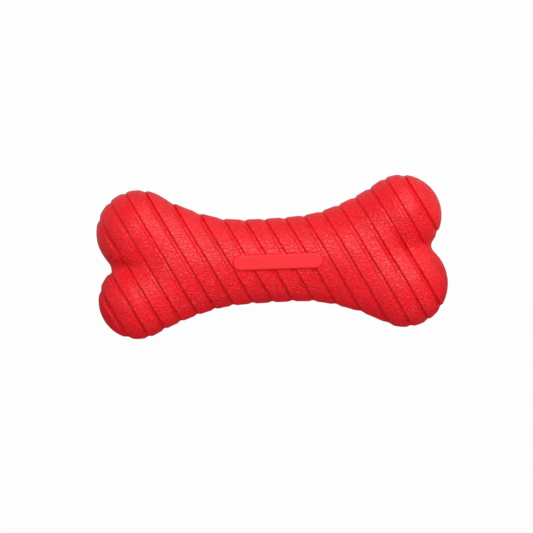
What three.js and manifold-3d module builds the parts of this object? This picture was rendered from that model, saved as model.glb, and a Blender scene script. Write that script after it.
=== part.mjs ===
// A bone-shaped chew toy that lies flat: a tough rubber core inside a softer outer layer.
// The outer layer is moulded in two halves that meet on the level plane through the bone's middle.
// Sizes are in millimetres, with +X along the bone, +Y across it and +Z up.
import * as THREE from "three";
import { mergeVertices } from "three/addons/utils/BufferGeometryUtils.js";
import Module from "manifold-3d";

// The bone in plan: two bowed strands that run together at the waist and end in four knuckles.
// A setback is how far a knuckle stops short of the bone's end.
const BONE_LENGTH = 165;
const UPPER_LEFT_RADIUS = 20.1;
const UPPER_LEFT_SPREAD = 15.6;
const UPPER_LEFT_SETBACK = 0.7;
const LOWER_LEFT_RADIUS = 18.3;
const LOWER_LEFT_SPREAD = 16.1;
const LOWER_LEFT_SETBACK = 0.1;
const UPPER_RIGHT_RADIUS = 19.1;
const UPPER_RIGHT_SPREAD = 17.5;
const UPPER_RIGHT_SETBACK = 1.4;
const LOWER_RIGHT_RADIUS = 20.5;
const LOWER_RIGHT_SPREAD = 14.7;
const LOWER_RIGHT_SETBACK = 0.1;
const WAIST_WIDTH = 39.7;
const WAIST_SHIFT = -0.6;

// The bone's height. On top each knuckle is domed to its own radius. Underneath all four drop equally
// far below the level plane, so that the toy lies level.
const KNUCKLE_DROP = 20.2;
const WAIST_THICKNESS = 35.6;

// Fillets where the two strands meet: on the level plane, and at the waist and in the valley of each
// end at full height. A valley starts away from the bone's middle and sharpens over its run.
const SIDE_FILLET = 5;
const WAIST_FILLET = 14;
const LEFT_VALLEY_FILLET = 2.5;
const RIGHT_VALLEY_FILLET = 9;
const VALLEY_START = 48;
const VALLEY_RUN = 18;

// Slanted bands, parted by straight channels with a gentle left wall and a steeper right one.
// A channel is shallower at the level plane, and reaches its full depth over a height of its own.
const BAND_SLANT = 28;
const BAND_PITCH = 8.34;
const BAND_START = -1.95;
const CHANNEL_LEFT_RUN = 1;
const CHANNEL_FLOOR = 1;
const CHANNEL_RIGHT_RUN = 0.8;
const CHANNEL_DEPTH = 1.1;
const CHANNEL_EDGE_DEPTH = 0.6;
const CHANNEL_EASE = 6;
const PLAIN_TIP = 3;

// Raised plate in the middle of the top, bare and flat, with a rounded rim
const PLATE_LENGTH = 41.9;
const PLATE_WIDTH = 6.9;
const PLATE_RISE = 0.5;
const PLATE_ROOT = 3;
const PLATE_RIM = 0.3;
const PLATE_X = 2.9;
const PLATE_Y = -1.4;
const PLATE_TURN = -1;

// Core, and its clearance in the outer layer
const LAYER_THICKNESS = 8;
const CORE_GAP = 0.4;
const CORE_FILLET = 8;

// Flats under the knuckles, where the soft layer takes the toy's weight
const REST_FLAT_DEPTH = 0.7;

// Fineness of the surfaces: points on a section of one strand, sections on a round tip and along the
// core, the least step between two sections, steps round the plate's ends and over its rim, and the
// stride and the tolerance of a search for the skin
const SKIN_POINTS = 12;
const CORE_POINTS = 8;
const TIP_SECTIONS = 4;
const CORE_SECTIONS = 24;
const SECTION_STEP = 0.15;
const PLATE_END_STEPS = 10;
const PLATE_RIM_STEPS = 2;
const SEARCH_STRIDE = 0.4;
const SEARCH_TOLERANCE = 1e-6;

const wasm = await Module();
wasm.setup();
const { clamp, degToRad, lerp, smoothstep } = THREE.MathUtils;

function toSolid(geometry) {
  return new wasm.Manifold(new wasm.Mesh({
    numProp: 3,
    vertProperties: new Float32Array(geometry.attributes.position.array),
    triVerts: new Uint32Array(geometry.index.array),
  }));
}

function toGeometry(solid) {
  const mesh = solid.getMesh();
  const geometry = new THREE.BufferGeometry();
  geometry.setAttribute("position", new THREE.BufferAttribute(mesh.vertProperties, 3));
  geometry.setIndex(new THREE.BufferAttribute(mesh.triVerts, 1));
  return geometry;
}

// The circle through three points in plan
function circleThrough(a, b, c) {
  const cross = 2 * (a.x * (b.y - c.y) + b.x * (c.y - a.y) + c.x * (a.y - b.y));
  const squareA = a.x ** 2 + a.y ** 2;
  const squareB = b.x ** 2 + b.y ** 2;
  const squareC = c.x ** 2 + c.y ** 2;
  const x = (squareA * (b.y - c.y) + squareB * (c.y - a.y) + squareC * (a.y - b.y)) / cross;
  const y = (squareA * (c.x - b.x) + squareB * (a.x - c.x) + squareC * (b.x - a.x)) / cross;
  return { x, y, radius: Math.hypot(a.x - x, a.y - y) };
}

// A strand is a round bar bowed in plan on the circle through its two knuckles and the waist.
// Its value at a point is the distance from the bar's surface, below zero inside the bar.
function bowedStrand(left, waist, right) {
  const bow = circleThrough(left, waist, right);
  const side = Math.sign(bow.y - waist.y);
  const turnTo = (x, y) => Math.atan2(x - bow.x, side * (bow.y - y));
  const leftTurn = turnTo(left.x, left.y);
  const rightTurn = turnTo(right.x, right.y);
  return (x, y, z) => {
    const turn = clamp(turnTo(x, y), leftTurn, rightTurn);
    const end = turn < 0 ? left : right;
    const share = (turn / (turn < 0 ? leftTurn : rightTurn)) ** 2;
    const radius = lerp(waist.radius, end.radius, share);
    const half = lerp(waist.half, end.half, share);
    const offX = x - bow.x - bow.radius * Math.sin(turn);
    const offY = y - bow.y + side * bow.radius * Math.cos(turn);
    return Math.hypot(offX, offY, z * radius / half) - radius;
  };
}

// The fillet between the outer layer's strands at a place along the bone and a height
function skinFillet(x, z) {
  const valley = x < 0 ? LEFT_VALLEY_FILLET : RIGHT_VALLEY_FILLET;
  const sharpness = smoothstep(Math.abs(x), VALLEY_START, VALLEY_START + VALLEY_RUN);
  return lerp(SIDE_FILLET, lerp(WAIST_FILLET, valley, sharpness), clamp(z / KNUCKLE_DROP, 0, 1) ** 2);
}

// Two strands run together, with a fillet between them
function boneForm(bone, filletAt) {
  const upper = bowedStrand(bone.upperLeft, bone.waist, bone.upperRight);
  const lower = bowedStrand(bone.lowerLeft, bone.waist, bone.lowerRight);
  return (at) => {
    const a = upper(at.x, at.y, at.z);
    const b = lower(at.x, at.y, at.z);
    const fillet = filletAt(at.x, at.z);
    const near = Math.max(fillet - Math.abs(a - b), 0);
    return Math.min(a, b) - near ** 2 / (4 * fillet);
  };
}

// Directions in plan: u is square to the bands and v runs along them
const slant = degToRad(BAND_SLANT);
const alongU = new THREE.Vector2(Math.cos(slant), Math.sin(slant));
const alongV = new THREE.Vector2(-Math.sin(slant), Math.cos(slant));

function place(u, v, z) {
  return new THREE.Vector3(u * alongU.x + v * alongV.x, u * alongU.y + v * alongV.y, z);
}

// The last value from low to high that is still inside
function lastInside(low, high, inside) {
  let near = low;
  let far = high;
  while (Math.abs(far - near) > SEARCH_TOLERANCE) {
    const middle = (near + far) / 2;
    if (inside(middle)) {
      near = middle;
    } else {
      far = middle;
    }
  }
  return near;
}

// The notch between the two knuckles of one end, -1 or 1: on the level plane, the last plane across
// the bone that meets both knuckles as one, at the shallowest place between them
function notchPoint(form, levelAt, upper, lower, end) {
  const lowest = (u) => Math.min(levelAt(u, 0, 1), levelAt(u, 0, -1));
  const shallowest = (u) => {
    let low = alongV.dot(lower);
    let high = alongV.dot(upper);
    while (high - low > SEARCH_TOLERANCE) {
      const third = (high - low) / 3;
      if (form(place(u, low + third, 0)) < form(place(u, high - third, 0))) {
        low += third;
      } else {
        high -= third;
      }
    }
    return place(u, low, 0);
  };
  return shallowest(lastInside(0, end * BONE_LENGTH, (u) => form(shallowest(u)) < lowest(u)));
}

// Half a section of one strand on the plane at u, from the valley over the top and out to the level
// plane. side is 1 for the upper strand and -1 for the lower. None where the plane misses it.
function strandSection(form, u, levelAt, valley, side, points) {
  const inside = (out, z) => form(place(u, valley + side * out, z)) < levelAt(u, z, side);
  const height = (out) => lastInside(0, BONE_LENGTH, (z) => inside(out, z));
  const spans = [];
  let from = inside(0, 0) ? 0 : null;
  for (let out = 0; out < BONE_LENGTH; out += SEARCH_STRIDE) {
    const next = out + SEARCH_STRIDE;
    const here = inside(out, 0);
    if (here !== inside(next, 0)) {
      const edge = lastInside(here ? out : next, here ? next : out, (w) => inside(w, 0));
      if (here) {
        spans.push({ from, to: edge, width: edge - from });
      } else {
        from = edge;
      }
    }
  }
  if (spans.length === 0) {
    return null;
  }
  const { from: inner, width } = spans.reduce((a, b) => (a.width > b.width ? a : b));
  const wall = inner > 0 ? 0 : height(0);
  const count = Math.round(points);
  const section = [place(u, valley + side * inner, 0), place(u, valley + side * inner, wall)];
  for (let k = 1; k < count; k++) {
    const out = inner + width * (1 - Math.cos(Math.PI * k / count)) / 2;
    section.push(place(u, valley + side * out, height(out)));
  }
  section.push(place(u, valley + side * (inner + width), 0));
  return side > 0 ? section : section.reverse();
}

// A closed skin through rings of points, drawn to a point at each end
function loft(rings, start, end) {
  const count = rings[0].length;
  const points = [start, ...rings.flat(), end];
  const at = (ring, k) => 1 + ring * count + k % count;
  const last = rings.length - 1;
  const index = [];
  for (let k = 0; k < count; k++) {
    index.push(0, at(0, k), at(0, k + 1));
    for (let ring = 0; ring < last; ring++) {
      index.push(at(ring, k), at(ring + 1, k), at(ring, k + 1));
      index.push(at(ring + 1, k), at(ring + 1, k + 1), at(ring, k + 1));
    }
    index.push(points.length - 1, at(last, k + 1), at(last, k));
  }
  const geometry = new THREE.BufferGeometry().setFromPoints(points);
  geometry.setIndex(index);
  return geometry;
}

// The point of a knuckle that reaches furthest along u, at the end given as -1 or 1
function knuckleTip(form, levelAt, knuckle, end) {
  const u = alongU.dot(knuckle);
  const v = alongV.dot(knuckle);
  const side = Math.sign(knuckle.y);
  const inside = (out) => form(place(u + end * out, v, 0)) < levelAt(u + end * out, 0, side);
  return place(u + end * lastInside(0, 2 * knuckle.radius, inside), v, 0);
}

// Positions in order, without those closer than a step to the one before or to a fixed one
function inOrder(stations, step, fixed) {
  const kept = [];
  for (const u of [...stations].sort((a, b) => a - b)) {
    const clear = fixed.every((at) => Math.abs(u - at) > step);
    if (clear && (kept.length === 0 || u - kept[kept.length - 1] > step)) {
      kept.push(u);
    }
  }
  return [...kept, ...fixed].sort((a, b) => a - b);
}

// Half of a bone, top or bottom, between the level plane and its skin: two strands side by side.
// levelAt gives how far the skin lies outside the plain form at u, at a height and on one strand. The
// strands part along the line from notch to notch, and each notch gets a section of its own.
function halfBone(bone, form, levelAt, stations, points, up) {
  const leftNotch = notchPoint(form, levelAt, bone.upperLeft, bone.lowerLeft, -1);
  const rightNotch = notchPoint(form, levelAt, bone.upperRight, bone.lowerRight, 1);
  const fromU = alongU.dot(leftNotch);
  const toU = alongU.dot(rightNotch);
  const valleyAt = (u) => lerp(alongV.dot(leftNotch), alongV.dot(rightNotch), (u - fromU) / (toU - fromU));
  const sections = inOrder(stations, SECTION_STEP, [fromU, toU]);
  const strands = [
    { side: 1, left: bone.upperLeft, right: bone.upperRight },
    { side: -1, left: bone.lowerLeft, right: bone.lowerRight },
  ];
  const solids = strands.map(({ side, left, right }) => {
    const start = knuckleTip(form, levelAt, left, -1);
    const end = knuckleTip(form, levelAt, right, 1);
    const rings = sections
      .filter((u) => u > alongU.dot(start) && u < alongU.dot(end))
      .map((u) => strandSection(form, u, levelAt, valleyAt(u), side, points))
      .filter((ring) => ring);
    const turned = rings.map((ring) => ring.map((at) => new THREE.Vector3(at.x, at.y, -at.z)).reverse());
    return toSolid(loft(up ? rings : turned, start, end));
  });
  return solids[0].add(solids[1]);
}

// Positions along u that close in on each knuckle's tip, so that its round end stays round
function tipStations(bone, form, levelAt, run) {
  const count = Math.round(TIP_SECTIONS);
  const shares = Array.from({ length: count }, (_, k) => ((k + 1) / (count + 1)) ** 2);
  const starts = [bone.upperLeft, bone.lowerLeft].map((at) => knuckleTip(form, levelAt, at, -1));
  const ends = [bone.upperRight, bone.lowerRight].map((at) => knuckleTip(form, levelAt, at, 1));
  return [
    ...starts.flatMap((tip) => shares.map((share) => alongU.dot(tip) + run * share)),
    ...ends.flatMap((tip) => shares.map((share) => alongU.dot(tip) - run * share)),
  ];
}

// A bone with its skin set in all over by inset, as seen from the top or from underneath.
// The fillet fills out the waist, where the two strands coincide, by a quarter of its size.
function makeBone(inset, filletAt, up) {
  const knuckle = (end, side, radius, spread, setback) => ({
    x: end * (BONE_LENGTH / 2 - setback - radius),
    y: side * spread,
    radius: radius - inset,
    half: (up ? radius : KNUCKLE_DROP) - inset,
  });
  const waistRadius = WAIST_WIDTH / 2 - inset - filletAt(0, 0) / 4;
  const waistHeight = WAIST_THICKNESS / 2 - inset;
  return {
    upperLeft: knuckle(-1, 1, UPPER_LEFT_RADIUS, UPPER_LEFT_SPREAD, UPPER_LEFT_SETBACK),
    lowerLeft: knuckle(-1, -1, LOWER_LEFT_RADIUS, LOWER_LEFT_SPREAD, LOWER_LEFT_SETBACK),
    upperRight: knuckle(1, 1, UPPER_RIGHT_RADIUS, UPPER_RIGHT_SPREAD, UPPER_RIGHT_SETBACK),
    lowerRight: knuckle(1, -1, LOWER_RIGHT_RADIUS, LOWER_RIGHT_SPREAD, LOWER_RIGHT_SETBACK),
    waist: {
      x: 0,
      y: WAIST_SHIFT,
      radius: waistRadius,
      half: waistHeight / (1 + filletAt(0, waistHeight) / (4 * waistRadius)),
    },
  };
}

const topBone = makeBone(0, skinFillet, true);
const bottomBone = makeBone(0, skinFillet, false);
const topForm = boneForm(topBone, skinFillet);
const bottomForm = boneForm(bottomBone, skinFillet);
const knuckles = [topBone.upperLeft, topBone.lowerLeft, topBone.upperRight, topBone.lowerRight];

// Channels of a strand: every one whose mouth stays clear of the plain tips of its two knuckles
function channelRange(left, right) {
  const lowest = alongU.dot(left) - left.radius + PLAIN_TIP + CHANNEL_FLOOR / 2 + CHANNEL_LEFT_RUN;
  const highest = alongU.dot(right) + right.radius - PLAIN_TIP - CHANNEL_FLOOR / 2 - CHANNEL_RIGHT_RUN;
  return {
    first: Math.ceil((lowest - BAND_START) / BAND_PITCH),
    last: Math.floor((highest - BAND_START) / BAND_PITCH),
  };
}

const upperChannels = channelRange(topBone.upperLeft, topBone.upperRight);
const lowerChannels = channelRange(topBone.lowerLeft, topBone.lowerRight);

function channelLevel(u, z, side) {
  const { first, last } = side > 0 ? upperChannels : lowerChannels;
  const nearest = clamp(Math.round((u - BAND_START) / BAND_PITCH), first, last);
  const off = u - BAND_START - nearest * BAND_PITCH;
  const run = off < 0 ? CHANNEL_LEFT_RUN : CHANNEL_RIGHT_RUN;
  const share = clamp((CHANNEL_FLOOR / 2 + run - Math.abs(off)) / run, 0, 1);
  return -share * lerp(CHANNEL_EDGE_DEPTH, CHANNEL_DEPTH, smoothstep(z, 0, CHANNEL_EASE));
}

// Sections of the skin: both edges of every channel wall, the round tips, and the middle of each
// band that crosses a knuckle
const plainBand = BAND_PITCH - CHANNEL_LEFT_RUN - CHANNEL_FLOOR - CHANNEL_RIGHT_RUN;
const skinStations = tipStations(topBone, topForm, channelLevel, plainBand);
const firstChannel = Math.min(upperChannels.first, lowerChannels.first);
const lastChannel = Math.max(upperChannels.last, lowerChannels.last);
for (let k = firstChannel; k <= lastChannel; k++) {
  const leftFoot = BAND_START + k * BAND_PITCH - CHANNEL_FLOOR / 2;
  const rightFoot = leftFoot + CHANNEL_FLOOR;
  const rightEdge = rightFoot + CHANNEL_RIGHT_RUN;
  skinStations.push(leftFoot - CHANNEL_LEFT_RUN, leftFoot, rightFoot, rightEdge);
  const band = rightEdge + plainBand / 2;
  if (knuckles.some((at) => Math.abs(band - alongU.dot(at)) < at.radius)) {
    skinStations.push(band);
  }
}
const topSkin = halfBone(topBone, topForm, channelLevel, skinStations, SKIN_POINTS, true);
const bottomSkin = halfBone(bottomBone, bottomForm, channelLevel, skinStations, SKIN_POINTS, false);

// Core: a slimmer bone with one fillet all along, and its cavity, which is the core grown by its clearance.
// Both are cut at the same sections, so the clearance between their facets stays even.
const coreFillet = () => CORE_FILLET;
const coreBones = [true, false].map((up) => makeBone(LAYER_THICKNESS + CORE_GAP, coreFillet, up));
const coreForms = coreBones.map((bone) => boneForm(bone, coreFillet));
const coreLevel = () => 0;
const cavityLevel = () => CORE_GAP;
const lowestU = Math.min(...knuckles.map((at) => alongU.dot(at) - at.radius));
const highestU = Math.max(...knuckles.map((at) => alongU.dot(at) + at.radius));
const coreStep = (highestU - lowestU) / Math.round(CORE_SECTIONS);
const coreStations = tipStations(coreBones[0], coreForms[0], cavityLevel, coreStep);
for (let u = lowestU; u < highestU; u += coreStep) {
  coreStations.push(u);
}

function wholeCore(levelAt) {
  const halves = coreBones.map((bone, k) => (
    halfBone(bone, coreForms[k], levelAt, coreStations, CORE_POINTS, k === 0)
  ));
  return halves[0].add(halves[1]);
}

const core = wholeCore(coreLevel);
const cavity = wholeCore(cavityLevel);

// Plate: a flat capsule that rises above the highest skin under it and is rooted in the layer
const plateHalf = (PLATE_LENGTH - PLATE_WIDTH) / 2;
const plateOutline = new THREE.Shape();
plateOutline.absarc(plateHalf, 0, PLATE_WIDTH / 2, -Math.PI / 2, Math.PI / 2);
plateOutline.absarc(-plateHalf, 0, PLATE_WIDTH / 2, Math.PI / 2, 3 * Math.PI / 2);
const plateSeat = Math.max(...[-1, 0, 1].map((end) => {
  const x = PLATE_X + end * plateHalf;
  return lastInside(0, BONE_LENGTH, (z) => topForm({ x, y: PLATE_Y, z }) < 0);
}));
const plate = new THREE.ExtrudeGeometry(plateOutline, {
  depth: PLATE_ROOT + PLATE_RISE - PLATE_RIM,
  bevelThickness: PLATE_RIM,
  bevelSize: PLATE_RIM,
  bevelOffset: -PLATE_RIM,
  bevelSegments: Math.round(PLATE_RIM_STEPS),
  curveSegments: Math.round(PLATE_END_STEPS),
});
plate.deleteAttribute("normal");
plate.deleteAttribute("uv");
plate.rotateZ(degToRad(PLATE_TURN));
plate.translate(PLATE_X, PLATE_Y, plateSeat - PLATE_ROOT);

// Ground under the knuckles
const floorLevel = REST_FLAT_DEPTH - KNUCKLE_DROP;
const ground = new THREE.BoxGeometry(2 * BONE_LENGTH, 2 * BONE_LENGTH, KNUCKLE_DROP);
ground.deleteAttribute("normal");
ground.deleteAttribute("uv");
ground.translate(0, 0, floorLevel - KNUCKLE_DROP / 2);

const top = topSkin.add(toSolid(mergeVertices(plate))).subtract(cavity);
const bottom = bottomSkin.subtract(toSolid(mergeVertices(ground))).subtract(cavity);

const toy = new THREE.Group();
toy.name = "chew_bone";

function addPiece(name, solid, color, roughness) {
  const material = new THREE.MeshStandardMaterial({ color, roughness, metalness: 0 });
  const mesh = new THREE.Mesh(toGeometry(solid), material);
  mesh.name = name;
  toy.add(mesh);
}

addPiece("outer_layer_top", top, 0xe8343e, 0.55);
addPiece("outer_layer_bottom", bottom, 0xe8343e, 0.55);
addPiece("inner_core", core, 0x7d1a20, 0.7);

// The origin lies on the ground, under the middle of the bone's length and width
const extent = new THREE.Box3().setFromObject(toy);
const middle = extent.getCenter(new THREE.Vector3());
for (const piece of toy.children) {
  piece.geometry.translate(-middle.x, -middle.y, -extent.min.z);
}

export default toy;
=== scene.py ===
import math

import bmesh
import bpy
import numpy as np
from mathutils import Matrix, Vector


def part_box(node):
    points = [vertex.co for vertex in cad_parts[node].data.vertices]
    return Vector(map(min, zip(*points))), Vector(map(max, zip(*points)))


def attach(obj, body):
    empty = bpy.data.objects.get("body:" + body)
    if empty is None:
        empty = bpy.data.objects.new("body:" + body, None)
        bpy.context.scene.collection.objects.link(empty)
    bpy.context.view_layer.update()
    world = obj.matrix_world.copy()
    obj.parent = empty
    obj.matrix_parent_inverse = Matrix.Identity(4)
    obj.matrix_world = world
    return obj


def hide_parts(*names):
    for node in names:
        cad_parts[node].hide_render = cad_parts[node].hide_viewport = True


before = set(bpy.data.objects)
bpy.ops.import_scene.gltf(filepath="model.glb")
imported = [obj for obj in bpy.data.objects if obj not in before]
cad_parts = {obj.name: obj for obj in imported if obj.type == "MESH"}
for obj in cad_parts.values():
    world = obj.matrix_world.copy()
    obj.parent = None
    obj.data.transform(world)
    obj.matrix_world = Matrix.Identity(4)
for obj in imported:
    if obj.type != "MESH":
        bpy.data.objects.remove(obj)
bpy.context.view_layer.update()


# Inner core: a tough, solid rubber bone that the soft layer is moulded round.
# It is dark red, matt and a little mottled, as rubber is when it comes out of the mould.
def core_rubber():
    material = bpy.data.materials.new("core_rubber")
    material.use_nodes = True
    nodes = material.node_tree.nodes
    link = material.node_tree.links.new
    shader = nodes["Principled BSDF"]
    where = nodes.new("ShaderNodeTexCoord")
    mottle = nodes.new("ShaderNodeTexNoise")
    mottle.inputs["Scale"].default_value = 160
    mottle.inputs["Detail"].default_value = 4
    tint = nodes.new("ShaderNodeValToRGB")
    tint.color_ramp.elements[0].color = (0.15, 0.010, 0.014, 1)
    tint.color_ramp.elements[1].color = (0.25, 0.016, 0.022, 1)
    pores = nodes.new("ShaderNodeTexNoise")
    pores.inputs["Scale"].default_value = 1500
    dents = nodes.new("ShaderNodeBump")
    dents.inputs["Strength"].default_value = 0.3
    dents.inputs["Distance"].default_value = 0.0001
    link(where.outputs["Object"], mottle.inputs["Vector"])
    link(where.outputs["Object"], pores.inputs["Vector"])
    link(mottle.outputs["Fac"], tint.inputs["Fac"])
    link(tint.outputs["Color"], shader.inputs["Base Color"])
    link(pores.outputs["Fac"], dents.inputs["Height"])
    link(dents.outputs["Normal"], shader.inputs["Normal"])
    shader.inputs["Roughness"].default_value = 0.7
    return material


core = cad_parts["inner_core"]
core.data.materials.clear()
core.data.materials.append(core_rubber())


# Soft outer layer, both halves: red foam rubber, moulded over the core and meeting on a level seam.
# In plan it is two bowed strands that run together at the waist and end in four knuckles.
# Slanted bands cross it, parted by channels with one gentle and one steep side. Sizes are in millimetres.
bone_length = 165
knuckle_drop = 20.2
waist_thickness = 35.6
waist_width = 39.7
waist_shift = -0.6
layer_thickness = 8
core_gap = 0.4
core_fillet = 8
rest_flat_depth = 0.7

# The valley between two knuckles is sharpest at the ends and opens out towards the waist
side_fillet = 5
left_valley_fillet = 2.5
right_valley_fillet = 9
waist_fillet = 14
valley_start = 48
valley_run = 18


def eased(share):
    share = np.clip(share, 0, 1)
    return share ** 2 * (3 - 2 * share)


def skin_fillet(x, z):
    end = np.where(x < 0, left_valley_fillet, right_valley_fillet)
    crest = waist_fillet + (end - waist_fillet) * eased((np.abs(x) - valley_start) / valley_run)
    height = np.clip(z / knuckle_drop, 0, 1) ** 2
    return side_fillet + (crest - side_fillet) * height


def even_fillet(x, z):
    return core_fillet


# Each knuckle has its own radius, spread from the bone's middle line and setback from its end.
# The upper half is domed to that radius, and in the lower half all four knuckles drop equally far
def bone_plan(inset, fillet, domed):
    def knuckle(end, side, radius, spread, setback):
        return {
            "x": end * (bone_length / 2 - setback - radius),
            "y": side * spread,
            "radius": radius - inset,
            "half": (radius if domed else knuckle_drop) - inset,
        }

    top = waist_thickness / 2 - inset
    radius = waist_width / 2 - inset - fillet(0, 0) / 4
    waist = {"x": 0, "y": waist_shift, "radius": radius, "half": top / (1 + fillet(0, top) / (4 * radius))}
    upper_left = knuckle(-1, 1, radius=20.1, spread=15.6, setback=0.7)
    upper_right = knuckle(1, 1, radius=19.1, spread=17.5, setback=1.4)
    lower_left = knuckle(-1, -1, radius=18.3, spread=16.1, setback=0.1)
    lower_right = knuckle(1, -1, radius=20.5, spread=14.7, setback=0.1)
    return {1: (upper_left, waist, upper_right), -1: (lower_left, waist, lower_right)}


# A strand's middle line is the arc through both its knuckles and the waist
def bow_of(left, waist, right):
    a, b, c = ((at["x"], at["y"]) for at in (left, waist, right))
    cross = 2 * (a[0] * (b[1] - c[1]) + b[0] * (c[1] - a[1]) + c[0] * (a[1] - b[1]))
    aa, bb, cc = (p[0] ** 2 + p[1] ** 2 for p in (a, b, c))
    x = (aa * (b[1] - c[1]) + bb * (c[1] - a[1]) + cc * (a[1] - b[1])) / cross
    y = (aa * (c[0] - b[0]) + bb * (a[0] - c[0]) + cc * (b[0] - a[0])) / cross
    return x, y, math.hypot(a[0] - x, a[1] - y)


def bowed_strand(left, waist, right):
    bow_x, bow_y, bow_radius = bow_of(left, waist, right)
    side = math.copysign(1, bow_y - waist["y"])
    left_turn = math.atan2(left["x"] - bow_x, side * (bow_y - left["y"]))
    right_turn = math.atan2(right["x"] - bow_x, side * (bow_y - right["y"]))

    def depth(x, y, z):
        turn = np.clip(np.arctan2(x - bow_x, side * (bow_y - y)), left_turn, right_turn)
        on_left = turn < 0
        share = (turn / np.where(on_left, left_turn, right_turn)) ** 2

        def here(size):
            return waist[size] + share * (np.where(on_left, left[size], right[size]) - waist[size])

        radius, half = here("radius"), here("half")
        off_x = x - bow_x - bow_radius * np.sin(turn)
        off_y = y - bow_y + side * bow_radius * np.cos(turn)
        return np.sqrt(off_x ** 2 + off_y ** 2 + (z * radius / half) ** 2) - radius

    return depth


# Bands run along v, and u is square to them. A channel has a gentle left wall and a steep right one,
# and it is softer and shallower at the seam. One channel runs out in the valley of the right end
band_slant = math.radians(28)
band_pitch = 8.34
band_start = -1.95
channel_left_run = 1.0
channel_floor = 1.0
channel_right_run = 0.8
right_wall_bow = 1.2
channel_depth = 1.15
floor_fall = 0.25
seam_channel_depth = 0.6
seam_left_run = 2.4
seam_right_run = 1.5
soft_height = 6
first_channel = -9
last_channel = 9
ending_channel = 8
ending_v = -33
ending_run = 6
seam_reach = 0.35
seam_depth = 0.18


def in_plan(u, v):
    return (
        u * math.cos(band_slant) - v * math.sin(band_slant),
        u * math.sin(band_slant) + v * math.cos(band_slant),
    )


def across(x, y):
    return (
        x * math.cos(band_slant) + y * math.sin(band_slant),
        y * math.cos(band_slant) - x * math.sin(band_slant),
    )


def channel_cut(u, v, z):
    nearest = np.clip(np.round((u - band_start) / band_pitch), first_channel, last_channel)
    off = u - band_start - nearest * band_pitch
    left_foot, right_foot = -channel_floor / 2, channel_floor / 2
    falling = (channel_depth - floor_fall) * eased((off - left_foot) / channel_left_run + 1)
    falling = falling + floor_fall * np.clip((off - left_foot) / channel_floor, 0, 1)
    up_wall = np.maximum((right_foot + channel_right_run - off) / channel_right_run, 0)
    rising = channel_depth * up_wall ** right_wall_bow
    from_foot = off - right_foot
    from_foot = np.where(from_foot < 0, -from_foot / seam_left_run, from_foot / seam_right_run)
    soft = seam_channel_depth * eased(1 - from_foot)
    height = eased(z / soft_height)
    kept = np.where(nearest == ending_channel, eased((v - ending_v) / ending_run), 1)
    return kept * (height * np.minimum(falling, rising) + (1 - height) * soft)


def bone_form(plan, fillet):
    upper, lower = bowed_strand(*plan[1]), bowed_strand(*plan[-1])

    def form(u, v, z):
        x, y = in_plan(u, v)
        a, b = upper(x, y, z), lower(x, y, z)
        size = fillet(x, z)
        near = np.maximum(size - np.abs(a - b), 0)
        return np.minimum(a, b) - near ** 2 / (4 * size)

    return form


# Fineness of the mesh: the stride and the reach of a search for the skin, the points searched along
# a section and a notch, the closer sections at a tip or a notch, the least step between two sections
# and the rows beside the seam
search_halvings = 32
search_stride = 0.3
search_height = 30.0
tip_reach = 40.0
section_points = 240
notch_points = 6000
closer_sections = 16
tip_run = 6
notch_run = 5
least_step = 0.04
least_gap = 0.01
seam_rows = np.array([0.09, 0.18, 0.35, 0.6])
seam_row_shares = np.array([0.01, 0.02, 0.04, 0.07])
seam_row_margin = 1.2


def last_inside(inside, near, far):
    for _ in range(search_halvings):
        middle = (near + far) / 2
        within = inside(middle)
        near, far = np.where(within, middle, near), np.where(within, far, middle)
    return near


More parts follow.
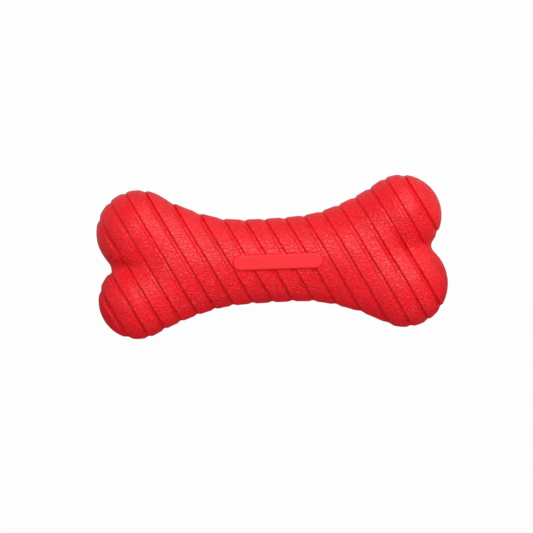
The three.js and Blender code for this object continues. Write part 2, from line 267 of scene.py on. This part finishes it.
def half_skin(plan, skin, sections, points):
    def edge_from(u, v, way):
        steps = np.arange(0, bone_length, search_stride)
        within = skin(u[:, None], v[:, None] + way * steps, 0) < 0
        first_out = steps[np.argmin(within, axis=1)]
        return last_inside(lambda s: skin(u, v + way * s, 0) < 0, first_out - search_stride, first_out)

    def tip(u, v, way):
        reach = last_inside(lambda s: skin(u + way * s, v, 0) < 0, np.zeros(1), np.full(1, tip_reach))
        return u + way * reach[0], v

    def notch(end):
        low, high = (across(plan[side][1 + end]["x"], plan[side][1 + end]["y"])[1] for side in (-1, 1))
        v = np.linspace(low, high, notch_points)
        u = last_inside(lambda u: (skin(u, v, 0) < 0).all(), np.zeros(1), np.full(1, end * bone_length))
        return u[0], v[np.argmax(skin(u, v, 0))]

    (left_u, left_v), (right_u, right_v) = notch(-1), notch(1)
    middles = {side: [across(plan[side][k]["x"], plan[side][k]["y"]) for k in (0, 2)] for side in plan}
    tips = {side: [tip(*middles[side][0], -1), tip(*middles[side][1], 1)] for side in plan}
    closing = (np.arange(1, closer_sections + 1) / closer_sections) ** 2
    marks = [sections]
    for side in plan:
        marks += [tips[side][0][0] + tip_run * closing, tips[side][1][0] - tip_run * closing]
    for at in (left_u, right_u):
        marks += [at - notch_run * closing, at + notch_run * closing]
    notches = np.array([left_u, right_u])
    kept = []
    for mark in np.sort(np.concatenate(marks)):
        if np.abs(notches - mark).min() > least_gap and (not kept or mark - kept[-1] > least_step):
            kept.append(mark)
    cuts = np.sort(np.concatenate([kept, notches]))

    vertices, faces = [], []
    for side in plan:
        (start_u, _), (end_u, _) = tips[side]
        u = cuts[(cuts > start_u + least_gap) & (cuts < end_u - least_gap)]
        joined = (u >= left_u) & (u <= right_u)
        parting = left_v + (right_v - left_v) * (u - left_u) / (right_u - left_u)
        seen = np.where(joined, parting, np.where(u < 0, middles[side][0][1], middles[side][1][1]))
        outer = side * edge_from(u, seen, side)
        inner = np.where(joined, 0, -side * edge_from(u, seen, -side))
        share = (1 - np.cos(np.linspace(0, math.pi, section_points))) / 2
        v = (seen + outer)[:, None] + (inner - outer)[:, None] * share
        highest = np.full(v.shape, search_height)
        z = last_inside(lambda z: skin(u[:, None], v, z) < 0, np.zeros(v.shape), highest)
        z[:, 0] = 0
        z[~joined | np.isin(u, notches), -1] = 0
        run = np.cumsum(np.hypot(np.diff(v), np.diff(z)), axis=1)
        run = np.concatenate([np.zeros((len(u), 1)), run], axis=1)
        whole = run[:, -1:]
        rim = np.minimum(seam_rows, whole * seam_row_shares)
        rim_end = rim[:, -1:] * seam_row_margin
        even = whole * np.linspace(0, 1, points)
        even[:, 1:-1] = np.clip(even[:, 1:-1], rim_end, whole - rim_end)
        spots = np.sort(np.concatenate([even, rim, whole - rim], axis=1), axis=1)
        ring_v = np.array([np.interp(s, r, w) for s, r, w in zip(spots, run, v)])
        ring_z = np.array([np.interp(s, r, w) for s, r, w in zip(spots, run, z)])
        x, y = in_plan(u[:, None], ring_v)
        rings, around = x.shape
        number = len(vertices) + np.arange(rings * around).reshape(rings, around)
        vertices += np.stack([x.ravel(), y.ravel(), ring_z.ravel()], axis=1).tolist()
        first, last = len(vertices), len(vertices) + 1
        vertices += [(*in_plan(*at), 0.0) for at in tips[side]]
        for k in range(around - 1):
            faces.append((first, number[0, k], number[0, k + 1]))
            faces.append((last, number[-1, k + 1], number[-1, k]))
            for r in range(rings - 1):
                faces.append((number[r, k], number[r + 1, k], number[r + 1, k + 1], number[r, k + 1]))
    return np.array(vertices), faces


# Sections of the skin lie close together across a channel and farther apart on a band
left_steps = -channel_floor / 2 - channel_left_run * np.linspace(1.2, 0, 11)
floor_steps = np.linspace(-0.35, 0.5, 5) * channel_floor
right_shares = np.array([0.12, 0.25, 0.4, 0.55, 0.7, 0.85, 1, 1.2, 1.6, 2])
right_steps = channel_floor / 2 + channel_right_run * right_shares
channel_steps = np.concatenate([left_steps, floor_steps, right_steps])
band_steps = np.linspace(right_steps[-1], band_pitch + left_steps[0], 6)[1:-1]
channels = range(first_channel, last_channel + 1)
bands = range(first_channel - 1, last_channel + 1)
skin_sections = [band_start + k * band_pitch + channel_steps for k in channels]
skin_sections += [band_start + k * band_pitch + band_steps for k in bands]
skin_sections = np.concatenate(skin_sections)
skin_ring_points = 44
room_sections = np.arange(-80, 80, 2.5)
room_ring_points = 20


def outside(domed):
    plan = bone_plan(0, skin_fillet, domed)
    plain = bone_form(plan, skin_fillet)

    def channelled(u, v, z):
        return plain(u, v, z) + channel_cut(u, v, z)

    points, faces = half_skin(plan, channelled, skin_sections, skin_ring_points)

    # The moulded edge at the seam is a little rounded, so a fine line runs round the bone
    u, v = across(points[:, 0], points[:, 1])
    z = points[:, 2]
    step = 0.01
    slope_u = plain(u + step, v, z) - plain(u - step, v, z)
    slope_v = plain(u, v + step, z) - plain(u, v - step, z)
    slope = np.maximum(np.hypot(slope_u, slope_v), 1e-9)
    drawn_in = seam_depth * np.clip(1 - z / seam_reach, 0, 1) ** 2
    x, y = in_plan(u - drawn_in * slope_u / slope, v - drawn_in * slope_v / slope)
    return np.stack([x, y, z], axis=1), faces


def hollow(domed):
    plan = bone_plan(layer_thickness + core_gap, even_fillet, domed)
    form = bone_form(plan, even_fillet)
    return half_skin(plan, lambda u, v, z: form(u, v, z) - core_gap, room_sections, room_ring_points)


seam_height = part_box("outer_layer_top")[0].z
top_points, top_faces = outside(True)
low, high = top_points.min(0), top_points.max(0)
centre = np.array([(low[0] + high[0]) / 2, (low[1] + high[1]) / 2, 0])


def in_frame(points):
    return 0.001 * (np.asarray(points) - centre) + np.array([0, 0, seam_height])


# Points closer together than this many metres are one point
one_point = 1e-6


def moulded_half(name, skin, skin_faces, room, room_faces):
    mesh = bpy.data.meshes.new(name)
    inside = [tuple(len(skin) + k for k in face) for face in room_faces]
    mesh.from_pydata(in_frame(np.concatenate([skin, room])).tolist(), [], skin_faces + inside)
    shape = bmesh.new()
    shape.from_mesh(mesh)
    bmesh.ops.remove_doubles(shape, verts=shape.verts, dist=one_point)
    rim = [edge for edge in shape.edges if edge.is_boundary]
    bmesh.ops.triangle_fill(shape, edges=rim, use_beauty=False)
    bmesh.ops.recalc_face_normals(shape, faces=shape.faces)
    shape.to_mesh(mesh)
    shape.free()
    piece = bpy.data.objects.new(name, mesh)
    bpy.context.scene.collection.objects.link(piece)
    return piece


# Where the foot of a channel's right wall lies along u, in the frame and in metres
foot_offset = 0.4
foot_x, foot_y, _ = in_frame((*in_plan(band_start + foot_offset, 0), 0))
first_foot = foot_x * math.cos(band_slant) + foot_y * math.sin(band_slant)


# The foam rubber's skin, with the depth of its wrinkles in metres. The higher the creases' floor, the
# fainter they are. The share is how strongly painted shade darkens the red at the foot of a channel on the
# front half, and the plain roughness is that between the creases
def foam_rubber(name, wrinkle_depth, crease_floor, painted_shade_share, plain_roughness):
    material = bpy.data.materials.new(name)
    material.use_nodes = True
    nodes = material.node_tree.nodes
    link = material.node_tree.links.new
    shader = nodes["Principled BSDF"]
    where = nodes.new("ShaderNodeTexCoord")

    # Wrinkles: short wavy creases, longer along the bone than across it
    stretch = nodes.new("ShaderNodeMapping")
    stretch.inputs["Scale"].default_value = (0.62, 1.25, 1.1)
    wander = nodes.new("ShaderNodeTexNoise")
    wander.inputs["Scale"].default_value = 420
    wander.inputs["Detail"].default_value = 2
    bend = nodes.new("ShaderNodeVectorMath")
    bend.operation = "MULTIPLY_ADD"
    bend.inputs[1].default_value = (0.0016, 0.0016, 0.0016)
    creases = nodes.new("ShaderNodeTexVoronoi")
    creases.feature = "DISTANCE_TO_EDGE"
    creases.inputs["Scale"].default_value = 520
    soften = nodes.new("ShaderNodeMapRange")
    soften.interpolation_type = "SMOOTHSTEP"
    soften.inputs["From Max"].default_value = 0.18
    soften.inputs["To Min"].default_value = crease_floor
    swell = nodes.new("ShaderNodeTexNoise")
    swell.inputs["Scale"].default_value = 350
    swell.inputs["Detail"].default_value = 1
    relief = nodes.new("ShaderNodeMath")
    relief.operation = "MULTIPLY_ADD"
    relief.inputs[1].default_value = 0.4

    # The mould's grain fades out on the steep sides near the seam
    spot = nodes.new("ShaderNodeSeparateXYZ")
    rise = nodes.new("ShaderNodeMath")
    rise.operation = "SUBTRACT"
    rise.inputs[1].default_value = seam_height
    height = nodes.new("ShaderNodeMath")
    height.operation = "ABSOLUTE"
    fade = nodes.new("ShaderNodeMapRange")
    fade.interpolation_type = "SMOOTHSTEP"
    fade.inputs["From Min"].default_value = 0.004
    fade.inputs["From Max"].default_value = 0.010
    faded = nodes.new("ShaderNodeMath")
    faded.operation = "MULTIPLY"

    # It is bolder on the sides that face the front
    facing = nodes.new("ShaderNodeNewGeometry")
    front = nodes.new("ShaderNodeSeparateXYZ")
    bolder = nodes.new("ShaderNodeMapRange")
    bolder.inputs["From Min"].default_value = 0.0
    bolder.inputs["From Max"].default_value = -0.6
    bolder.inputs["To Min"].default_value = 0.7
    bolder.inputs["To Max"].default_value = 1.3
    deepened = nodes.new("ShaderNodeMath")
    deepened.operation = "MULTIPLY"
    grain = nodes.new("ShaderNodeBump")
    grain.inputs["Strength"].default_value = 1
    grain.inputs["Distance"].default_value = wrinkle_depth
    link(where.outputs["Object"], stretch.inputs["Vector"])
    link(stretch.outputs["Vector"], wander.inputs["Vector"])
    link(wander.outputs["Color"], bend.inputs[0])
    link(stretch.outputs["Vector"], bend.inputs[2])
    link(bend.outputs["Vector"], creases.inputs["Vector"])
    link(bend.outputs["Vector"], swell.inputs["Vector"])
    link(creases.outputs["Distance"], soften.inputs["Value"])
    link(swell.outputs["Fac"], relief.inputs[0])
    link(soften.outputs["Result"], relief.inputs[2])
    link(where.outputs["Object"], spot.inputs["Vector"])
    link(spot.outputs["Z"], rise.inputs[0])
    link(rise.outputs["Value"], height.inputs[0])
    link(height.outputs["Value"], fade.inputs["Value"])
    link(relief.outputs["Value"], faded.inputs[0])
    link(fade.outputs["Result"], faded.inputs[1])
    link(facing.outputs["Normal"], front.inputs["Vector"])
    link(front.outputs["Y"], bolder.inputs["Value"])
    link(faded.outputs["Value"], deepened.inputs[0])
    link(bolder.outputs["Result"], deepened.inputs[1])
    link(deepened.outputs["Value"], grain.inputs["Height"])
    link(grain.outputs["Normal"], shader.inputs["Normal"])

    # Colour: a strong red that varies a little at random, darker in the creases as painted shade
    cloud = nodes.new("ShaderNodeTexNoise")
    cloud.inputs["Scale"].default_value = 90
    cloud.inputs["Detail"].default_value = 4
    tone_and_crease_shade = nodes.new("ShaderNodeMath")
    tone_and_crease_shade.operation = "MULTIPLY_ADD"
    tone_and_crease_shade.inputs[1].default_value = 0.35
    # Painted shade: the ramp's darker end falls in the creases, and the noise gives a random tone
    red = nodes.new("ShaderNodeValToRGB")
    red.color_ramp.elements[0].position = 0.25
    red.color_ramp.elements[0].color = (0.71, 0.0099, 0.017, 1)
    red.color_ramp.elements[1].position = 0.85
    red.color_ramp.elements[1].color = (0.88, 0.0123, 0.0211, 1)

    # Painted shade: on the front half of the bone the red is darkened further along the foot of each
    # channel, where shade falls in the channels
    slant = nodes.new("ShaderNodeVectorMath")
    slant.operation = "DOT_PRODUCT"
    slant.inputs[1].default_value = (math.cos(band_slant), math.sin(band_slant), 0)
    from_start = nodes.new("ShaderNodeMath")
    from_start.operation = "SUBTRACT"
    from_start.inputs[1].default_value = first_foot
    to_foot = nodes.new("ShaderNodeMath")
    to_foot.operation = "PINGPONG"
    to_foot.inputs[1].default_value = 0.001 * band_pitch / 2
    foot = nodes.new("ShaderNodeMapRange")
    foot.interpolation_type = "SMOOTHSTEP"
    foot.inputs["From Min"].default_value = 0.0009
    foot.inputs["From Max"].default_value = 0.0003
    shaded = nodes.new("ShaderNodeMapRange")
    shaded.inputs["From Min"].default_value = 0.004
    shaded.inputs["From Max"].default_value = -0.010
    shaded.inputs["To Max"].default_value = painted_shade_share
    foot_shade_amount = nodes.new("ShaderNodeMath")
    foot_shade_amount.operation = "MULTIPLY"
    # Painted shade: the dark red mixed in at the channels' feet on the front half
    painted_foot_shade = nodes.new("ShaderNodeMix")
    painted_foot_shade.data_type = "RGBA"
    painted_foot_shade.inputs["B"].default_value = (0.25, 0.002, 0.003, 1)
    roughness = nodes.new("ShaderNodeMapRange")
    roughness.inputs["To Min"].default_value = 0.34
    roughness.inputs["To Max"].default_value = plain_roughness
    link(where.outputs["Object"], cloud.inputs["Vector"])
    link(soften.outputs["Result"], tone_and_crease_shade.inputs[0])
    link(cloud.outputs["Fac"], tone_and_crease_shade.inputs[2])
    link(tone_and_crease_shade.outputs["Value"], red.inputs["Fac"])
    link(where.outputs["Object"], slant.inputs[0])
    link(slant.outputs["Value"], from_start.inputs[0])
    link(from_start.outputs["Value"], to_foot.inputs[0])
    link(to_foot.outputs["Value"], foot.inputs["Value"])
    link(spot.outputs["Y"], shaded.inputs["Value"])
    link(foot.outputs["Result"], foot_shade_amount.inputs[0])
    link(shaded.outputs["Result"], foot_shade_amount.inputs[1])
    link(foot_shade_amount.outputs["Value"], painted_foot_shade.inputs["Factor"])
    link(red.outputs["Color"], painted_foot_shade.inputs["A"])
    link(painted_foot_shade.outputs["Result"], shader.inputs["Base Color"])
    link(soften.outputs["Result"], roughness.inputs["Value"])
    link(roughness.outputs["Result"], shader.inputs["Roughness"])
    shader.inputs["Specular IOR Level"].default_value = 0.31
    return material


grained_red = foam_rubber("grained_red", 0.00018, crease_floor=0, painted_shade_share=0.24, plain_roughness=0.38)
top = moulded_half("soft_layer_top", top_points, top_faces, *hollow(True))

# The lower half mirrors the plan below the seam, and is flattened a little where the knuckles rest
bottom_points, bottom_faces = outside(False)
bottom_points[:, 2] = -np.minimum(bottom_points[:, 2], knuckle_drop - rest_flat_depth)
low_room, low_room_faces = hollow(False)
low_room[:, 2] *= -1
bottom = moulded_half("soft_layer_bottom", bottom_points, bottom_faces, low_room, low_room_faces)
for half in (top, bottom):
    half.data.materials.append(grained_red)


# Plate: a bare raised capsule in the middle of the top half, moulded with it from the same foam rubber.
# It is smooth, with a rounded rim, and breaks the channels. A fine line is sunk into the skin round it.
plate_length = 41.9
plate_width = 6.9
plate_rise = 0.5
plate_root = 2.2
plate_rim = 0.3
plate_x = 2.9
plate_y = -1.4
plate_turn = math.radians(-1)
plate_straight = (plate_length - plate_width) / 2
smooth_red = foam_rubber("smooth_red", 0.00003, crease_floor=0.9, painted_shade_share=0, plain_roughness=0.48)
plain_top = bone_form(bone_plan(0, skin_fillet, True), skin_fillet)


def skin_top(x, y):
    u, v = across(x, y)
    return last_inside(lambda z: plain_top(u, v, z) < 0, np.zeros(1), np.full(1, search_height))[0]


plate_spots = (plate_x - plate_straight, plate_x, plate_x + plate_straight)
plate_top = max(skin_top(x, plate_y) for x in plate_spots) + plate_rise
straight_steps = np.linspace(0, 2, 13)[1:-1]
end_turns = np.linspace(-math.pi / 2, math.pi / 2, 25)


# A row is a loop round the plate, a little way in or out from its edge and at its own height
def capsule(name, rows):
    shape = bmesh.new()
    loops = []
    for inset, height in rows:
        loop = []
        for end in (1, -1):
            straight = [(end * (along - 1) * plate_straight, end_turns[0]) for along in straight_steps]
            round_end = [(end * plate_straight, turn) for turn in end_turns]
            for x, turn in straight + round_end:
                x += end * (plate_width / 2 - inset) * math.cos(turn)
                y = end * (plate_width / 2 - inset) * math.sin(turn)
                at_x = plate_x + x * math.cos(plate_turn) - y * math.sin(plate_turn)
                at_y = plate_y + x * math.sin(plate_turn) + y * math.cos(plate_turn)
                loop.append(shape.verts.new(in_frame((at_x, at_y, height(at_x, at_y)))))
        loops.append(loop)
    for lower, upper in zip(loops, loops[1:]):
        for k in range(len(lower)):
            n = (k + 1) % len(lower)
            shape.faces.new((lower[k], lower[n], upper[n], upper[k]))
    shape.faces.new(loops[-1])
    shape.faces.new(loops[0][::-1])
    mesh = bpy.data.meshes.new(name)
    shape.to_mesh(mesh)
    shape.free()
    mesh.materials.append(smooth_red)
    solid = bpy.data.objects.new(name, mesh)
    bpy.context.scene.collection.objects.link(solid)
    return solid


def level(z):
    return lambda x, y: z


def under_skin(depth):
    return lambda x, y: skin_top(x, y) - depth


# The fine line's section, from under the plate outwards: how far in from the plate's edge, and how deep.
# The bed that cuts it reaches up past the plate
line_section = ((0.4, 0.35), (-0.2, 0.35), (-0.3, 0.3), (-0.45, 0))
bed_mouth = -0.6
bed_headroom = 2
bed_rows = [(inset, under_skin(depth)) for inset, depth in line_section]
bed = capsule("plate_bed", bed_rows + [(bed_mouth, level(plate_top + bed_headroom))])

# The plate's own section: its root in the layer, its rounded rim and its flat top
top_insets = (1.2, 2.6)
plate_rows = [(0, level(plate_top - plate_root))]
for lift in np.linspace(0, math.pi / 2, 5):
    inset = plate_rim * (1 - math.cos(lift))
    plate_rows.append((inset, level(plate_top - plate_rim + plate_rim * math.sin(lift))))
plate_rows += [(inset, level(plate_top)) for inset in top_insets]
plate = capsule("raised_plate", plate_rows)
top.data.materials.append(smooth_red)
for solid, way in ((bed, "DIFFERENCE"), (plate, "UNION")):
    weld = top.modifiers.new(solid.name, "BOOLEAN")
    weld.operation = way
    weld.solver = "EXACT"
    weld.material_mode = "TRANSFER"
    weld.object = solid
whole = bpy.data.meshes.new_from_object(top.evaluated_get(bpy.context.evaluated_depsgraph_get()))
top.modifiers.clear()
fused = bmesh.new()
fused.from_mesh(whole)
bmesh.ops.remove_doubles(fused, verts=fused.verts, dist=one_point / 2)
fused.to_mesh(whole)
fused.free()
top.data = whole
for solid in (bed, plate):
    bpy.data.objects.remove(solid)

for half, node in ((top, "outer_layer_top"), (bottom, "outer_layer_bottom")):
    half.data.polygons.foreach_set("use_smooth", [True] * len(half.data.polygons))
    half.data.set_sharp_from_angle(angle=math.radians(50))
    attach(half, "root")
    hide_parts(node)


# Floor: a plain white table top that the toy lies on.
# The camera sees it as white with a faint trace of the toy's shadow.
# To the toy it is grey behind and dark in front, a painted shade for the light falling off in front of the
# toy, so it throws little light up under the front side.
floor_reach = 3
floor_height = -1e-4
corners = ((-1, -1), (1, -1), (1, 1), (-1, 1))
floor_mesh = bpy.data.meshes.new("floor")
floor_points = [(floor_reach * x, floor_reach * y, floor_height) for x, y in corners]
floor_mesh.from_pydata(floor_points, [], [(0, 1, 2, 3)])
floor = bpy.data.objects.new("floor", floor_mesh)
bpy.context.scene.collection.objects.link(floor)
table_white = bpy.data.materials.new("table_white")
table_white.use_nodes = True
nodes = table_white.node_tree.nodes
link = table_white.node_tree.links.new
nodes.clear()
ray = nodes.new("ShaderNodeLightPath")
shown = nodes.new("ShaderNodeMath")
shown.operation = "MULTIPLY"
shown.inputs[1].default_value = 0.98
where = nodes.new("ShaderNodeTexCoord")
spot = nodes.new("ShaderNodeSeparateXYZ")
# Painted shade: the floor's bounce colour darkens from the back of the table to the front
painted_floor_shade = nodes.new("ShaderNodeMapRange")
painted_floor_shade.inputs["From Min"].default_value = -0.03
painted_floor_shade.inputs["From Max"].default_value = 0.03
painted_floor_shade.inputs["To Min"].default_value = 0.06
painted_floor_shade.inputs["To Max"].default_value = 0.38
matt = nodes.new("ShaderNodeBsdfDiffuse")
white = nodes.new("ShaderNodeEmission")
blend = nodes.new("ShaderNodeMixShader")
out = nodes.new("ShaderNodeOutputMaterial")
link(where.outputs["Object"], spot.inputs["Vector"])
link(spot.outputs["Y"], painted_floor_shade.inputs["Value"])
link(painted_floor_shade.outputs["Result"], matt.inputs["Color"])
link(ray.outputs["Is Camera Ray"], shown.inputs[0])
link(shown.outputs["Value"], blend.inputs["Fac"])
link(matt.outputs["BSDF"], blend.inputs[1])
link(white.outputs["Emission"], blend.inputs[2])
link(blend.outputs["Shader"], out.inputs["Surface"])
floor_mesh.materials.append(table_white)


# Light: a large soft lamp high above the far side of the table, a strip overhead and a low lamp behind.
# Fills stand in front and at both sides, and show no shine on the toy.
# The camera sees a white room, which gives no light itself.
world = bpy.data.worlds.new("room")
bpy.context.scene.world = world
world.use_nodes = True
nodes = world.node_tree.nodes
link = world.node_tree.links.new
nodes.clear()
ray = nodes.new("ShaderNodeLightPath")
room = nodes.new("ShaderNodeBackground")
room.inputs["Strength"].default_value = 0
wall = nodes.new("ShaderNodeBackground")
wall.inputs["Color"].default_value = (1, 1, 1, 1)
blend = nodes.new("ShaderNodeMixShader")
out = nodes.new("ShaderNodeOutputWorld")
link(ray.outputs["Is Camera Ray"], blend.inputs["Fac"])
link(room.outputs["Background"], blend.inputs[1])
link(wall.outputs["Background"], blend.inputs[2])
link(blend.outputs["Shader"], out.inputs["Surface"])


def soft_lamp(name, length, width, watts, place):
    light = bpy.data.lights.new(name, "AREA")
    light.shape = "ELLIPSE"
    light.size = length
    light.size_y = width
    light.energy = watts
    lamp = bpy.data.objects.new(name, light)
    lamp.location = place
    lamp.rotation_euler = lamp.location.to_track_quat("Z", "Y").to_euler()
    bpy.context.scene.collection.objects.link(lamp)
    return lamp


soft_lamp("high_lamp", 1.4, 1.4, 17.8, (0.34, 0.68, 1.25))
soft_lamp("strip_lamp", 3.0, 0.5, 5.7, (-0.1, 0.1, 1.3))
soft_lamp("back_lamp", 2.0, 0.7, 6.2, (1.0, 1.1, 0.4))
for fill in (
    soft_lamp("front_fill", 1.6, 0.7, 11, (0.5, -1.3, 0.3)),
    soft_lamp("left_fill", 1.2, 0.7, 6.4, (-1.3, 0.2, 0.65)),
    soft_lamp("low_left_fill", 1.2, 0.3, 2.2, (-1.0, -1.0, 0.2)),
    soft_lamp("low_right_fill", 1.2, 0.3, 3.2, (1.4, -0.4, 0.2)),
):
    fill.visible_glossy = False


# Camera: straight above on a long lens, turned so that the bone's right end stands a little higher.
# The bone's middle lies a few pixels up and to the right of the middle of the square picture.
view_turn = math.radians(-2.97)
picture_pixels = 533
bone_pixels = 350.25
pixels_right = 5
pixels_up = 7.4
away = 2.5
pixel = 0.001 * bone_length / bone_pixels
camera_data = bpy.data.cameras.new("camera")
camera_data.lens = camera_data.sensor_width * away / (picture_pixels * pixel)
camera_data.clip_end = 20
camera = bpy.data.objects.new("camera", camera_data)
bone_middle = in_frame((0, 0, 0))
right = np.array([math.cos(view_turn), math.sin(view_turn), 0])
up = np.array([-math.sin(view_turn), math.cos(view_turn), 0])
aim = bone_middle - pixel * (pixels_right * right + pixels_up * up)
camera.location = (aim[0], aim[1], seam_height + away)
camera.rotation_euler = (0, 0, view_turn)
bpy.context.scene.collection.objects.link(camera)
bpy.context.scene.camera = camera
bpy.context.scene.view_settings.view_transform = "Standard"
